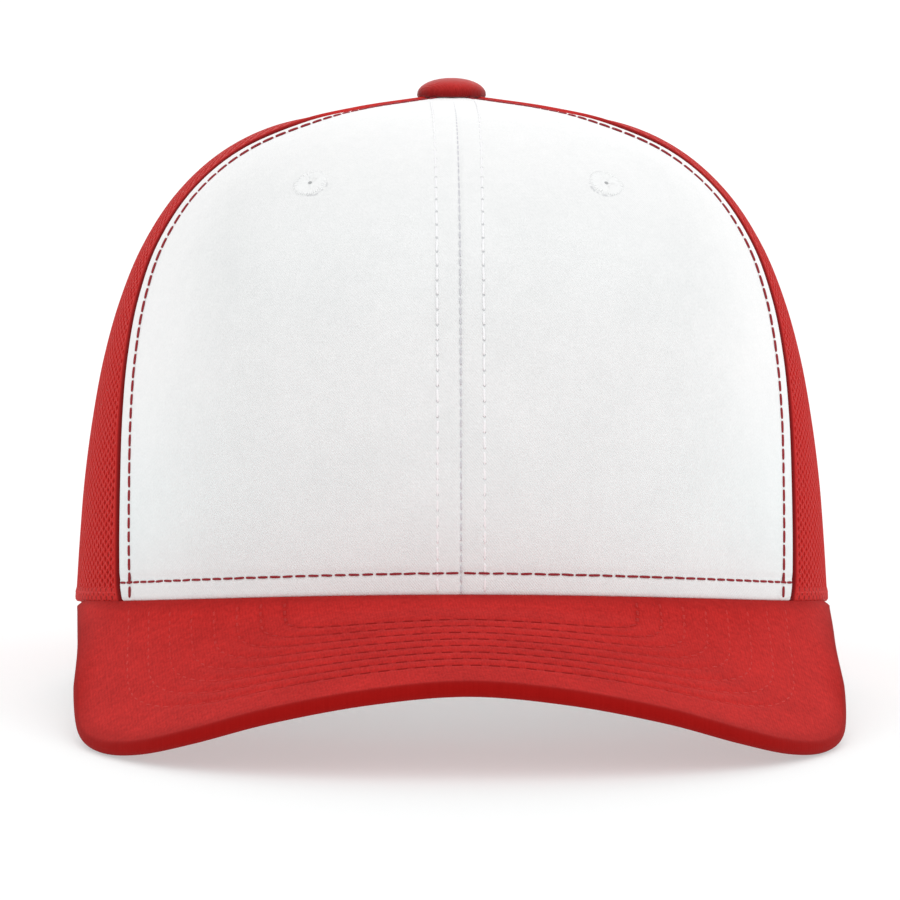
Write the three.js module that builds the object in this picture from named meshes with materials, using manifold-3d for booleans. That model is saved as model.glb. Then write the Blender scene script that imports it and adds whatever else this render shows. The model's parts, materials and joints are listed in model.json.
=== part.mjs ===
import * as THREE from 'three';
import { mergeVertices } from 'three/addons/utils/BufferGeometryUtils.js';
import Module from 'manifold-3d';

const wasm = await Module();
wasm.setup();

// A six-panel trucker cap, in millimetres. Its front faces -Y and left is -X, as seen from the front.
// The crown's lower edge at the sides is height 0 until the whole cap is tipped onto its resting points.

// Crown
const CROWN_HALF_WIDTH = 88;
const CROWN_FRONT_REACH = 98;
const CROWN_BACK_REACH = 98;
const CROWN_HEIGHT = 118;
const FRONT_EDGE_RISE = 2.6;
const FRONT_EDGE_CURVE = 3;
const BACK_EDGE_DIP = 10;
const DIP_START_ANGLE = 90;
const DIP_END_ANGLE = 150;
const BACK_SEAM_ANGLE = 120;
const PANEL_WALL = 1.6;
const MESH_WALL = 1.2;
const CLEARANCE = 0.3;

// Peak
const PEAK_SPAN_ANGLE = 78;
const PEAK_LENGTH = 67;
const PEAK_DROP = 30;
const PEAK_THICKNESS = 3.6;

// Button and eyelets
const BUTTON_RADIUS = 8.1;
const BUTTON_HEIGHT = 4.2;
const BUTTON_STEM_RADIUS = 3;
const BUTTON_STEM_LENGTH = 3.2;
const BUTTON_HOLE_CLEARANCE = 0.6;
const BUTTON_BASE_SHARE = 0.95;
const EYELET_SIDE = 33.5;
const EYELET_HEIGHT = 95.5;
const EYELET_RADIUS = 4.1;
const EYELET_HOLE_RADIUS = 1.4;
const EYELET_NECK_WALL = 0.7;
const EYELET_PROUD = 1.1;

// Back opening, its binding, the strap across it and the band inside the edge
const OPENING_HALF_WIDTH = 48;
const OPENING_HEIGHT = 60;
const BINDING_WIDTH = 8;
const BINDING_WALL = 2.1;
const BINDING_PROUD = 0.5;
const STRAP_HEIGHT = 20;
const STRAP_WALL = 2;
const STRAP_TUCK = 3;
const STRAP_LOWER = 0.5;
const BAND_HEIGHT = 30;
const BAND_WALL = 1.5;
const BAND_RAISE = 1;

// One row per level of the crown, evenly spaced along its wall from the lower edge to the top.
// height, side, front and back are shares of the crown's height, half width and reaches, square is
// the exponent of the level's outline, and seam is where the seam behind the front panels crosses it,
// in degrees from the front.
const LEVELS = [
  { height: 0, side: 1, front: 1, back: 1, square: 2.1, seam: 57 },
  { height: 0.12, side: 0.99, front: 0.998, back: 1, square: 2.15, seam: 57.4 },
  { height: 0.239, side: 0.977, front: 0.992, back: 0.99, square: 2.2, seam: 57.8 },
  { height: 0.358, side: 0.956, front: 0.98, back: 0.968, square: 2.28, seam: 58.5 },
  { height: 0.476, side: 0.927, front: 0.958, back: 0.93, square: 2.35, seam: 59.5 },
  { height: 0.592, side: 0.884, front: 0.922, back: 0.876, square: 2.42, seam: 60.6 },
  { height: 0.701, side: 0.824, front: 0.866, back: 0.806, square: 2.48, seam: 60.8 },
  { height: 0.802, side: 0.737, front: 0.782, back: 0.716, square: 2.48, seam: 58.8 },
  { height: 0.883, side: 0.623, front: 0.664, back: 0.6, square: 2.38, seam: 54 },
  { height: 0.937, side: 0.486, front: 0.518, back: 0.464, square: 2.2, seam: 44.5 },
  { height: 0.966, side: 0.315, front: 0.348, back: 0.312, square: 2.08, seam: 40 },
  { height: 0.986, side: 0.14, front: 0.16, back: 0.145, square: 2, seam: 40 },
  { height: 1, side: 0, front: 0, back: 0, square: 2, seam: 41 },
];

// One row per step along the peak, evenly spaced by angle from its middle to its end. overhang is a
// share of the peak's length, heading is the way the peak runs out, in degrees from straight ahead,
// and drop is how far its outer edge hangs, as a share of the peak's greatest drop.
const PEAK_STEPS = [
  { overhang: 1, heading: 0, drop: 0.57 },
  { overhang: 1, heading: 6.1, drop: 0.632 },
  { overhang: 0.984, heading: 12.3, drop: 0.762 },
  { overhang: 0.94, heading: 16, drop: 0.908 },
  { overhang: 0.876, heading: 17.2, drop: 0.992 },
  { overhang: 0.79, heading: 17.2, drop: 0.985 },
  { overhang: 0.695, heading: 14.8, drop: 0.87 },
  { overhang: 0.558, heading: 10.8, drop: 0.585 },
  { overhang: 0.335, heading: 5.5, drop: 0.25 },
  { overhang: 0.04, heading: 0, drop: 0 },
];

// One row per line across the peak, from its outer edge to the crown. across is a share of the
// overhang, and fullness is the share of the peak's half thickness that it has there.
const PEAK_LINES = [
  { across: 0, fullness: 0.45 },
  { across: 0.012, fullness: 0.8 },
  { across: 0.035, fullness: 1 },
  { across: 0.15, fullness: 1 },
  { across: 0.35, fullness: 1 },
  { across: 0.55, fullness: 1 },
  { across: 0.75, fullness: 1 },
  { across: 0.9, fullness: 1 },
  { across: 1, fullness: 1 },
];

// Faces along and up each piece
const PANEL_COLUMNS = 10;
const PANEL_ROWS = 15;
const PEAK_COLUMNS = 32;
const BAND_COLUMNS = 40;
const BAND_ROWS = 2;
const STRAP_COLUMNS = 16;
const BINDING_COLUMNS = 20;
const BINDING_ROWS = 10;
const ARCH_SEGMENTS = 12;
const BUTTON_SIDES = 24;
const DOME_STEPS = 5;
const EYELET_SIDES = 14;

// Numbers for searches and slopes
const HALVINGS = 40;
const SLOPE_STEP = 0.001;
const SHARE_STEPS = 1e6;

const WHITE_TWILL = new THREE.MeshStandardMaterial({ color: 0xeeeef0, roughness: 0.9, metalness: 0 });
const WHITE_THREAD = new THREE.MeshStandardMaterial({ color: 0xf4f4f4, roughness: 0.7, metalness: 0 });
const RED_MESH = new THREE.MeshStandardMaterial({ color: 0xbe3a38, roughness: 0.85, metalness: 0 });
const RED_TWILL = new THREE.MeshStandardMaterial({ color: 0xbf3835, roughness: 0.9, metalness: 0 });
const RED_TAPE = new THREE.MeshStandardMaterial({ color: 0xb43230, roughness: 0.85, metalness: 0 });
const RED_PLASTIC = new THREE.MeshStandardMaterial({ color: 0xb02a28, roughness: 0.45, metalness: 0 });

const radians = THREE.MathUtils.degToRad;

// A smooth curve through one column of a table. A mirrored column is level where the table starts.
function along(rows, column, share, mirrored = false) {
  const last = rows.length - 1;
  const place = share * last;
  const row = THREE.MathUtils.clamp(Math.floor(place), 0, last - 1);
  const start = rows[row][column];
  const end = rows[row + 1][column];
  const beforeFirst = mirrored ? end : 2 * start - end;
  const before = row > 0 ? rows[row - 1][column] : beforeFirst;
  const after = row + 1 < last ? rows[row + 2][column] : 2 * end - start;
  const part = place - row;
  const leave = (end - before) / 2;
  const arrive = (after - start) / 2;
  const bend = leave + arrive - 2 * (end - start);
  return start + part * (leave + part * (end - start - leave - bend + part * bend));
}

// The share between 0 and 1 at which a rising test first holds
function findShare(isPast) {
  let low = 0;
  let high = 1;
  for (let turn = 0; turn < HALVINGS; turn += 1) {
    const middle = (low + high) / 2;
    if (isPast(middle)) {
      high = middle;
    } else {
      low = middle;
    }
  }
  return high;
}

// The height of the crown's lower edge, at an angle from the front
function edgeHeight(angle) {
  const ahead = Math.max(Math.cos(angle), 0);
  const fromFront = Math.acos(Math.cos(angle));
  const behind = THREE.MathUtils.smoothstep(
    fromFront,
    radians(DIP_START_ANGLE),
    radians(DIP_END_ANGLE),
  );
  return FRONT_EDGE_RISE * ahead ** FRONT_EDGE_CURVE - BACK_EDGE_DIP * behind;
}

// The distance of the crown's skin from its upright middle line
function crownRadius(angle, level) {
  const ahead = Math.cos(angle);
  const side = CROWN_HALF_WIDTH * along(LEVELS, 'side', level);
  const front = CROWN_FRONT_REACH * along(LEVELS, 'front', level);
  const back = CROWN_BACK_REACH * along(LEVELS, 'back', level);
  const square = along(LEVELS, 'square', level);
  const reach = ahead > 0 ? front : back;
  const sum = (Math.abs(Math.sin(angle)) / side) ** square + (Math.abs(ahead) / reach) ** square;
  return sum ** (-1 / square);
}

function crownSkin(angle, level) {
  const radius = crownRadius(angle, level);
  const low = edgeHeight(angle);
  const height = low + (CROWN_HEIGHT - low) * along(LEVELS, 'height', level);
  return new THREE.Vector3(radius * Math.sin(angle), -radius * Math.cos(angle), height);
}

// A point at a depth inside the crown's skin
function crownPoint(angle, level, depth) {
  const across = crownSkin(angle + SLOPE_STEP, level).sub(crownSkin(angle - SLOPE_STEP, level));
  const upward = crownSkin(angle, level + SLOPE_STEP).sub(crownSkin(angle, level - SLOPE_STEP));
  const outward = across.cross(upward).normalize();
  return crownSkin(angle, level).addScaledVector(outward, -depth);
}

// The level at which the crown's skin stands a height above its lower edge
function levelAbove(angle, rise) {
  const low = edgeHeight(angle);
  return findShare((share) => along(LEVELS, 'height', share) * (CROWN_HEIGHT - low) > rise);
}

// The angle and level of the skin's point a distance to the side and at a height, in front or behind
function crownPlace(side, height, isBehind) {
  let angle = 0;
  let level = 0;
  for (let turn = 0; turn < HALVINGS; turn += 1) {
    level = levelAbove(angle, height - edgeHeight(angle));
    const turned = Math.asin(side / crownRadius(angle, level));
    angle = isBehind ? Math.PI - turned : turned;
  }
  return { angle, level };
}

// A block of faces, each corner of which is put where it belongs on the piece
function formedBlock(columns, rows, place) {
  const block = new THREE.BoxGeometry(1, 1, 1, columns, rows, 1);
  const corners = block.attributes.position;
  const share = (value) => Math.round((value + 0.5) * SHARE_STEPS) / SHARE_STEPS;
  for (let index = 0; index < corners.count; index += 1) {
    const point = place(
      share(corners.getX(index)),
      share(corners.getY(index)),
      share(corners.getZ(index)),
    );
    corners.setXYZ(index, point.x, point.y, point.z);
  }
  block.computeVertexNormals();
  return block;
}

function toSolid(geometry) {
  const bare = geometry.clone();
  bare.deleteAttribute('normal');
  bare.deleteAttribute('uv');
  const merged = mergeVertices(bare);
  const vertProperties = new Float32Array(merged.attributes.position.array);
  const triVerts = new Uint32Array(merged.index.array);
  return new wasm.Manifold(new wasm.Mesh({ numProp: 3, vertProperties, triVerts }));
}

function toGeometry(solid) {
  const mesh = solid.getMesh();
  const geometry = new THREE.BufferGeometry();
  geometry.setAttribute('position', new THREE.BufferAttribute(mesh.vertProperties, 3));
  geometry.setIndex(new THREE.BufferAttribute(mesh.triVerts, 1));
  geometry.computeVertexNormals();
  return geometry;
}

function piece(name, geometry, material) {
  const mesh = new THREE.Mesh(geometry, material);
  mesh.name = name;
  return mesh;
}

// The crown is open round the button's stem
const topLevel = findShare((share) => {
  const narrowest = Math.min(
    CROWN_HALF_WIDTH * along(LEVELS, 'side', share),
    CROWN_BACK_REACH * along(LEVELS, 'back', share),
  );
  return narrowest < BUTTON_STEM_RADIUS + BUTTON_HOLE_CLEARANCE;
});

const frontSeam = () => 0;
const sideSeam = (level) => radians(along(LEVELS, 'seam', level));
const rearSeam = () => radians(BACK_SEAM_ANGLE);
const backSeam = () => Math.PI;

// A crown panel between two seams, short of each by half a clearance. Side is 1 for right, -1 for left.
function crownPanel(side, nearSeam, farSeam, wall) {
  return formedBlock(PANEL_COLUMNS, PANEL_ROWS, (across, up, outward) => {
    const level = up * topLevel;
    const near = nearSeam(level);
    const far = farSeam(level);
    const nearEdge = near + CLEARANCE / 2 / crownRadius(near, level);
    const farEdge = far - CLEARANCE / 2 / crownRadius(far, level);
    const share = side > 0 ? across : 1 - across;
    const angle = side * THREE.MathUtils.lerp(nearEdge, farEdge, share);
    return crownPoint(angle, level, wall * (1 - outward));
  });
}

const eyeletPlace = crownPlace(EYELET_SIDE, EYELET_HEIGHT, false);

// Stands a turned shape, made round the Y axis, on the crown at the eyelet
function standAtEyelet(side, geometry) {
  const angle = side * eyeletPlace.angle;
  const skin = crownPoint(angle, eyeletPlace.level, 0);
  const outward = skin.clone().sub(crownPoint(angle, eyeletPlace.level, 1)).normalize();
  const turn = new THREE.Quaternion().setFromUnitVectors(new THREE.Vector3(0, 1, 0), outward);
  return geometry.applyQuaternion(turn).translate(skin.x, skin.y, skin.z);
}

function eyeletBore(side) {
  const radius = EYELET_HOLE_RADIUS + EYELET_NECK_WALL + CLEARANCE;
  return standAtEyelet(side, new THREE.CylinderGeometry(radius, radius, 4 * PANEL_WALL, EYELET_SIDES));
}

function frontPanel(side) {
  const panel = toSolid(crownPanel(side, frontSeam, sideSeam, PANEL_WALL));
  return toGeometry(panel.subtract(toSolid(eyeletBore(side))));
}

function eyelet(side) {
  const neck = EYELET_HOLE_RADIUS + EYELET_NECK_WALL;
  const foot = -PANEL_WALL - CLEARANCE;
  const seat = CLEARANCE;
  const round = (EYELET_PROUD - seat) / 2;
  const profile = [
    new THREE.Vector2(EYELET_HOLE_RADIUS, foot),
    new THREE.Vector2(neck, foot),
    new THREE.Vector2(neck, seat),
    new THREE.Vector2(EYELET_RADIUS - round / 2, seat),
    new THREE.Vector2(EYELET_RADIUS, seat + round),
    new THREE.Vector2(EYELET_RADIUS - round, EYELET_PROUD),
    new THREE.Vector2(neck, EYELET_PROUD),
    new THREE.Vector2(EYELET_HOLE_RADIUS, EYELET_PROUD - round),
    new THREE.Vector2(EYELET_HOLE_RADIUS, foot),
  ];
  return standAtEyelet(side, new THREE.LatheGeometry(profile, EYELET_SIDES));
}

// The highest skin at a distance from the crown's middle line
function crownTopAt(radius) {
  let highest = 0;
  for (let index = 0; index < BUTTON_SIDES; index += 1) {
    const angle = (index / BUTTON_SIDES) * 2 * Math.PI;
    const level = findShare((share) => crownRadius(angle, share) < radius);
    highest = Math.max(highest, crownSkin(angle, level).z);
  }
  return highest;
}

function button() {
  const seat = crownTopAt(BUTTON_STEM_RADIUS) + CLEARANCE;
  const rim = crownTopAt(BUTTON_RADIUS) + CLEARANCE;
  const waist = rim + BUTTON_HEIGHT / 4;
  const top = CROWN_HEIGHT + BUTTON_HEIGHT;
  const profile = [
    new THREE.Vector2(0, seat - BUTTON_STEM_LENGTH),
    new THREE.Vector2(BUTTON_STEM_RADIUS, seat - BUTTON_STEM_LENGTH),
    new THREE.Vector2(BUTTON_STEM_RADIUS, seat),
    new THREE.Vector2(BUTTON_BASE_SHARE * BUTTON_RADIUS, rim),
  ];
  for (let step = 0; step < DOME_STEPS; step += 1) {
    const turn = (step / DOME_STEPS) * (Math.PI / 2);
    profile.push(new THREE.Vector2(
      BUTTON_RADIUS * Math.cos(turn),
      waist + (top - waist) * Math.sin(turn),
    ));
  }
  profile.push(new THREE.Vector2(0, top));
  return new THREE.LatheGeometry(profile, BUTTON_SIDES).rotateX(Math.PI / 2);
}

// The outline of the back opening's arch, grown by a margin, on the crown's back edge
function archShape(margin) {
  const halfWidth = OPENING_HALF_WIDTH + margin;
  const height = OPENING_HEIGHT + margin;
  const skirt = BACK_EDGE_DIP + BINDING_WIDTH;
  const shape = new THREE.Shape();
  shape.moveTo(-halfWidth, -skirt);
  shape.lineTo(halfWidth, -skirt);
  shape.lineTo(halfWidth, 0);
  shape.absellipse(0, 0, halfWidth, height, 0, Math.PI, false);
  shape.closePath();
  return shape;
}

// The arch as a solid that runs from the middle of the crown out past its back
function archBlock(margin) {
  const depth = CROWN_BACK_REACH + 2 * BINDING_WIDTH;
  const settings = { depth, bevelEnabled: false, curveSegments: ARCH_SEGMENTS };
  const block = new THREE.ExtrudeGeometry(archShape(margin), settings);
  block.rotateX(Math.PI / 2);
  block.translate(0, depth, -BACK_EDGE_DIP);
  return toSolid(block);
}

function backPanel(side) {
  const panel = toSolid(crownPanel(side, rearSeam, backSeam, MESH_WALL));
  return toGeometry(panel.subtract(archBlock(BINDING_WIDTH + CLEARANCE)));
}

// The binding is the ring between two arches, cut from a thicker skin than the mesh
function openingBinding() {
  const highest = OPENING_HEIGHT + 2 * BINDING_WIDTH;
  const widest = OPENING_HALF_WIDTH + 2 * BINDING_WIDTH;
  const spread = Math.PI - crownPlace(widest, -BACK_EDGE_DIP, true).angle;
  const skin = formedBlock(BINDING_COLUMNS, BINDING_ROWS, (across, up, outward) => {
    const angle = Math.PI + spread * (2 * across - 1);
    const level = levelAbove(angle, highest * up);
    return crownPoint(angle, level, BINDING_WALL * (1 - outward) - BINDING_PROUD);
  });
  const ring = archBlock(BINDING_WIDTH).subtract(archBlock(0));
  return toGeometry(toSolid(skin).intersect(ring));
}

const strapHalfLength = OPENING_HALF_WIDTH + BINDING_WIDTH + STRAP_TUCK;
const strapDepth = Math.max(BINDING_WALL - BINDING_PROUD, MESH_WALL) + CLEARANCE;
const strapAngle = crownPlace(strapHalfLength, -BACK_EDGE_DIP, true).angle;

function backStrap() {
  const spread = Math.PI - strapAngle;
  return formedBlock(STRAP_COLUMNS, 1, (across, up, outward) => {
    const angle = Math.PI + spread * (2 * across - 1);
    const level = levelAbove(angle, STRAP_HEIGHT * up);
    const point = crownPoint(angle, level, strapDepth + STRAP_WALL * (1 - outward));
    point.z = STRAP_HEIGHT * up - BACK_EDGE_DIP - STRAP_LOWER;
    return point;
  });
}

function sweatband() {
  const depth = Math.max(PANEL_WALL, MESH_WALL) + CLEARANCE;
  const endGap = CLEARANCE / crownRadius(strapAngle, 0);
  const spread = strapAngle - endGap;
  return formedBlock(BAND_COLUMNS, BAND_ROWS, (across, up, outward) => {
    const angle = spread * (2 * across - 1);
    const level = levelAbove(angle, BAND_RAISE + BAND_HEIGHT * up);
    return crownPoint(angle, level, depth + BAND_WALL * (1 - outward));
  });
}

// The peak's middle surface at a line across it, for an angle along the crown's edge
function peakMiddle(angle, across) {
  const share = Math.abs(angle) / radians(PEAK_SPAN_ANGLE);
  const overhang = PEAK_LENGTH * along(PEAK_STEPS, 'overhang', share, true);
  const heading = Math.sign(angle) * radians(along(PEAK_STEPS, 'heading', share));
  const drop = PEAK_DROP * along(PEAK_STEPS, 'drop', share, true);
  const lean = Math.hypot(overhang, drop) / overhang;
  const root = crownSkin(angle, 0);
  const out = overhang * (1 - across);
  return {
    point: new THREE.Vector3(
      root.x + out * Math.sin(heading),
      root.y - out * Math.cos(heading),
      root.z - CLEARANCE - (PEAK_THICKNESS / 2) * lean - drop * (1 - across),
    ),
    lean,
  };
}

function peakNormal(angle, across) {
  const here = (turn, shift) => peakMiddle(angle + turn, across + shift).point;
  const sideways = here(SLOPE_STEP, 0).sub(here(-SLOPE_STEP, 0));
  const backward = here(0, SLOPE_STEP).sub(here(0, -SLOPE_STEP));
  return sideways.cross(backward).normalize();
}

// A cover of the peak, on top or underneath. Its last row is the flange under the crown's wall.
function peakCover(isTop) {
  const rows = PEAK_LINES.length;
  return formedBlock(PEAK_COLUMNS, rows, (share, up, outward) => {
    const angle = radians(PEAK_SPAN_ANGLE) * (2 * share - 1);
    const row = Math.round(up * rows);
    const line = PEAK_LINES[Math.min(row, rows - 1)];
    const { point, lean } = peakMiddle(angle, line.across);
    const half = (PEAK_THICKNESS / 2) * line.fullness;
    const near = CLEARANCE / 2;
    const offset = isTop ? near + (half - near) * outward : -near - (half - near) * (1 - outward);
    if (line.across < 1) {
      return point.addScaledVector(peakNormal(angle, line.across), offset);
    }
    if (row === rows) {
      const root = crownPoint(angle, 0, PANEL_WALL);
      point.setX(root.x).setY(root.y);
    }
    point.z += offset * lean;
    return point;
  });
}

function buildCap() {
  const cap = new THREE.Group();
  for (const [sideName, side] of [['left', -1], ['right', 1]]) {
    cap.add(piece(`front_panel_${sideName}`, frontPanel(side), WHITE_TWILL));
    cap.add(piece(`mesh_side_${sideName}`, crownPanel(side, sideSeam, rearSeam, MESH_WALL), RED_MESH));
    cap.add(piece(`mesh_back_${sideName}`, backPanel(side), RED_MESH));
    cap.add(piece(`eyelet_${sideName}`, eyelet(side), WHITE_THREAD));
  }
  cap.add(piece('peak_top_cover', peakCover(true), RED_TWILL));
  cap.add(piece('peak_under_cover', peakCover(false), RED_TWILL));
  cap.add(piece('button', button(), RED_TWILL));
  cap.add(piece('sweatband', sweatband(), RED_TWILL));
  cap.add(piece('opening_binding', openingBinding(), RED_TAPE));
  cap.add(piece('back_strap', backStrap(), RED_PLASTIC));
  return cap;
}

// The angle by which the cap leans back when it stands on the peak's corners and its back edge
function restingTilt(cap) {
  const points = cap.children.flatMap((mesh) => {
    const corners = mesh.geometry.attributes.position;
    return Array.from({ length: corners.count }, (_, index) => ({
      y: corners.getY(index),
      z: corners.getZ(index),
    }));
  });
  const steepest = radians(45);
  const share = findShare((part) => {
    const tilt = part * steepest;
    const heightOf = (point) => point.z * Math.cos(tilt) - point.y * Math.sin(tilt);
    const lowest = points.reduce((best, point) => (heightOf(point) < heightOf(best) ? point : best));
    return lowest.y > 0;
  });
  return share * steepest;
}

// Tips the cap onto its resting points and centres it on the origin
function restedCap() {
  const cap = buildCap();
  cap.rotation.x = -restingTilt(cap);
  cap.updateMatrixWorld(true);
  const box = new THREE.Box3().setFromObject(cap, true);
  cap.position.set(-(box.min.x + box.max.x) / 2, -(box.min.y + box.max.y) / 2, -box.min.z);
  const rested = new THREE.Group();
  rested.add(cap);
  return rested;
}

export default restedCap();
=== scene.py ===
import json
import math
import random

import bmesh
import bpy
import numpy as np
from mathutils import Matrix, Vector


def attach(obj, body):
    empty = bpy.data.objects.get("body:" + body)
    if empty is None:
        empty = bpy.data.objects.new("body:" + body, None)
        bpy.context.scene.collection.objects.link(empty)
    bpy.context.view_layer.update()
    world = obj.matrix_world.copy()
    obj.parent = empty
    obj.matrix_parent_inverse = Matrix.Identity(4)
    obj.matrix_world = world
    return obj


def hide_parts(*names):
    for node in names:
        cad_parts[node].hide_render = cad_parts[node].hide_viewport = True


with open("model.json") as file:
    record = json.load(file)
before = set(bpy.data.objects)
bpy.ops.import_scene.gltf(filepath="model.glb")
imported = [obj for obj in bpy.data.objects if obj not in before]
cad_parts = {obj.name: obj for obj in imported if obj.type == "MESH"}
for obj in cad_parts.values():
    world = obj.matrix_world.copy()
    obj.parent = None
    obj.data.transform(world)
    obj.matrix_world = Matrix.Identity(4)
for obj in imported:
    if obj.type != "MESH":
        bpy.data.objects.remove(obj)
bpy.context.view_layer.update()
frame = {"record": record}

# A six-panel trucker cap, in metres. The cap's own upright frame has its front facing -Y and height 0
# at the lower edge of the crown's sides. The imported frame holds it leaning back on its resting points.

# Crown
CROWN_HALF_WIDTH = 0.088
CROWN_REACH = 0.098
CROWN_HEIGHT = 0.118
FRONT_EDGE_RISE = 0.0026
FRONT_EDGE_CURVE = 3
BACK_EDGE_DIP = 0.01
DIP_START_ANGLE = math.radians(90)
DIP_END_ANGLE = math.radians(150)
BACK_SEAM_ANGLE = math.radians(120)
CORNER_LEVEL = 0.036
CORNER_TUCK = math.radians(0.9)
CROWN_HOLE_RADIUS = 0.0036
PANEL_WALL = 0.0016
FRONT_CLOTH_WALL = PANEL_WALL - 0.0002
CLEARANCE = 0.0003

# Peak
PEAK_SPAN = math.radians(78)
PEAK_LENGTH = 0.067
PEAK_DROP = 0.03
PEAK_HALF_THICKNESS = 0.0018
PEAK_WRAP = 0.02
PEAK_REACH = 0.975
PEAK_ROUNDING = 0.0019
PEAK_CLOTH_WALL = 0.0006
EDGE_ROWS = 0.1
ROOT_ROW = 0.97

# Eyelets and button
EYELET_SIDE = 0.0335
EYELET_HEIGHT = 0.0955
EYELET_RADIUS = 0.0041
EYELET_HOLE_RADIUS = 0.0005
EYELET_THREADS = 44
EYELET_THREAD_WIDTH = 0.0006
EYELET_THREAD_HEIGHT = 0.0004
EYELET_SUNK = 0.00012
BUTTON_RADIUS = 0.0081
BUTTON_HEIGHT = 0.0042
BUTTON_WAIST = 0.0003
BUTTON_TUCK = 0.001
BUTTON_SHANK = 0.003
BUTTON_STEPS = 16
BUTTON_PLEATS = 14
BUTTON_DOME_POWER = 0.95
BUTTON_RIM_POWER = 0.12

# Back opening, its binding, the strap across it and the band inside the edge
OPENING_HALF_WIDTH = 0.048
OPENING_HEIGHT = 0.06
BINDING_WIDTH = 0.008
BINDING_DEPTHS = (-0.0005, 0.0016)
STRAP_HEIGHT = 0.02
STRAP_DEPTHS = (0.0019, 0.0039)
STRAP_HALF_LENGTH = 0.059
STRAP_BOTTOM = -0.0105
BAND_HEIGHT = 0.03
BAND_DEPTHS = (0.0019, 0.0034)
BAND_RAISE = 0.001
BAND_END_GAP = 0.004

# Mesh
HOLE_PITCH = 0.002
COLUMN_PITCH = 0.00175
BAR_WIDTH = 0.00092
NET_WALL = 0.0008
NET_DEPTH = 0.0002
SEAM_MARGIN = 0.0026
HEM_WIDTH = 0.0036
MARGIN_WALL = 0.001
MARGIN_OVERLAP = 0.4
SEAM_RIDGE = 0.0006
RIDGE_INSET = SEAM_MARGIN * 0.62
RIDGE_WIDTH = 0.0009
PLAIN_SEAM_SHIFT = 0.0009

# Stitches: their usual sizes, the sizes of rows that differ, and where the rows are
STITCH_PITCH = 0.0031
STITCH_LENGTH = 0.0027
STITCH_WIDTH = 0.00062
STITCH_HEIGHT = 0.00042
STITCH_SLANT = 0.05
CENTRE_ROW_PITCH = 0.0035
SIDE_STITCH = {"width": 0.00088, "height": 0.0006}
CENTRE_STITCH = {"pitch": CENTRE_ROW_PITCH, "length": 0.003, "width": 0.0006, "height": 0.00026}
SEAM_STITCH = {"depth": 0.00026, "pitch": 0.0023, "length": 0.0017, "width": 0.00034}
HEM_STITCH = {"depth": 0.0001, "height": 0.0003}
PEAK_STITCH = {"pitch": 0.004, "length": 0.0025, "width": 0.00072, "height": 0.00042}
NEEDLE_HOLE_RADIUS = 0.00032
SIDE_ROW_INSET = 0.0058
SIDE_ROW_TOP_INSET = 0.0022
BOTTOM_ROW_RISE = 0.0052
BOTTOM_ROW_SAG = 0.0008
CENTRE_ROW_OFFSET = 0.0052
NET_ROW_INSET = 0.0018
HEM_ROW_RISE = 0.0022
BINDING_ROW_INSET = 0.0014
PEAK_FIRST_ROW = 0.0148
PEAK_ROW_PITCH = 0.0053
PEAK_ROW_COUNT = 8
PEAK_ROW_SUNK = 0.00016
PEAK_ROW_STAND = 0.00004
PEAK_SEWN_ROWS = [PEAK_FIRST_ROW + index * PEAK_ROW_PITCH for index in range(PEAK_ROW_COUNT)]

# How deep the soft waves of the front panels are, and how deep each dent and rounded edge goes and how
# far it reaches
PANEL_WAVE = 0.00012
CENTRE_SEAM_DENT = (0.00034, 0.0007)
CENTRE_ROW_DENT = (0.00005, 0.0006)
SIDE_ROW_DENT = (0.0002, 0.0009)
BOTTOM_ROW_DENT = (0.00016, 0.0008)
PEAK_ROW_DENT = (0.0003, 0.0009)
PANEL_SIDE_FALL = (0.0007, 0.0011)
PANEL_BOTTOM_FALL = (0.0005, 0.001)
SEAM_FALL = (0.0011, 0.0016)
MARGIN_FALL = (0.0006, 0.0008)
HEM_LOWER_FALL = (0.0004, 0.0009)
HEM_UPPER_FALL = (0.0004, 0.0018)

# Camera
CAMERA_DISTANCE = 2.0
CAMERA_HEIGHT = 0.0351
CAMERA_SIDE = -0.00035
CAMERA_YAW = math.radians(1.25)
CAMERA_LENS = 341.8

# One row per level of the crown, evenly spaced along its wall from the lower edge to the top. The
# first four columns are shares of the crown's height, half width and reaches, square is the exponent
# of the level's outline, and seam is where the seam behind the front panels is, in degrees from the
# front.
LEVEL_COLUMNS = ("height", "side", "front", "back", "square", "seam")
LEVEL_ROWS = (
    (0, 1, 1, 1, 2.1, 57),
    (0.12, 0.99, 0.998, 1, 2.15, 57.4),
    (0.239, 0.977, 0.992, 0.99, 2.2, 57.8),
    (0.358, 0.956, 0.98, 0.968, 2.28, 58.5),
    (0.476, 0.927, 0.958, 0.93, 2.35, 59.5),
    (0.592, 0.884, 0.922, 0.876, 2.42, 60.6),
    (0.701, 0.824, 0.866, 0.806, 2.48, 60.8),
    (0.802, 0.737, 0.782, 0.716, 2.48, 58.8),
    (0.883, 0.623, 0.664, 0.6, 2.38, 54.6),
    (0.937, 0.486, 0.518, 0.464, 2.2, 47.2),
    (0.966, 0.315, 0.348, 0.312, 2.08, 44.6),
    (0.986, 0.14, 0.16, 0.145, 2, 46.4),
    (1, 0, 0, 0, 2, 48),
)

# One row per step along the peak, evenly spaced by angle from its middle to its end: the overhang as a
# share of the peak's length, the heading in degrees from straight ahead, and the drop of its outer
# edge as a share of the greatest drop.
PEAK_COLUMNS = ("overhang", "heading", "drop")
PEAK_ROWS = (
    (1, 0, 0.57),
    (1, 6.1, 0.632),
    (0.984, 12.3, 0.762),
    (0.94, 16, 0.908),
    (0.876, 17.2, 0.992),
    (0.79, 17.2, 0.985),
    (0.695, 14.8, 0.87),
    (0.558, 10.8, 0.585),
    (0.335, 5.5, 0.25),
    (0.04, 0, 0),
)

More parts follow.
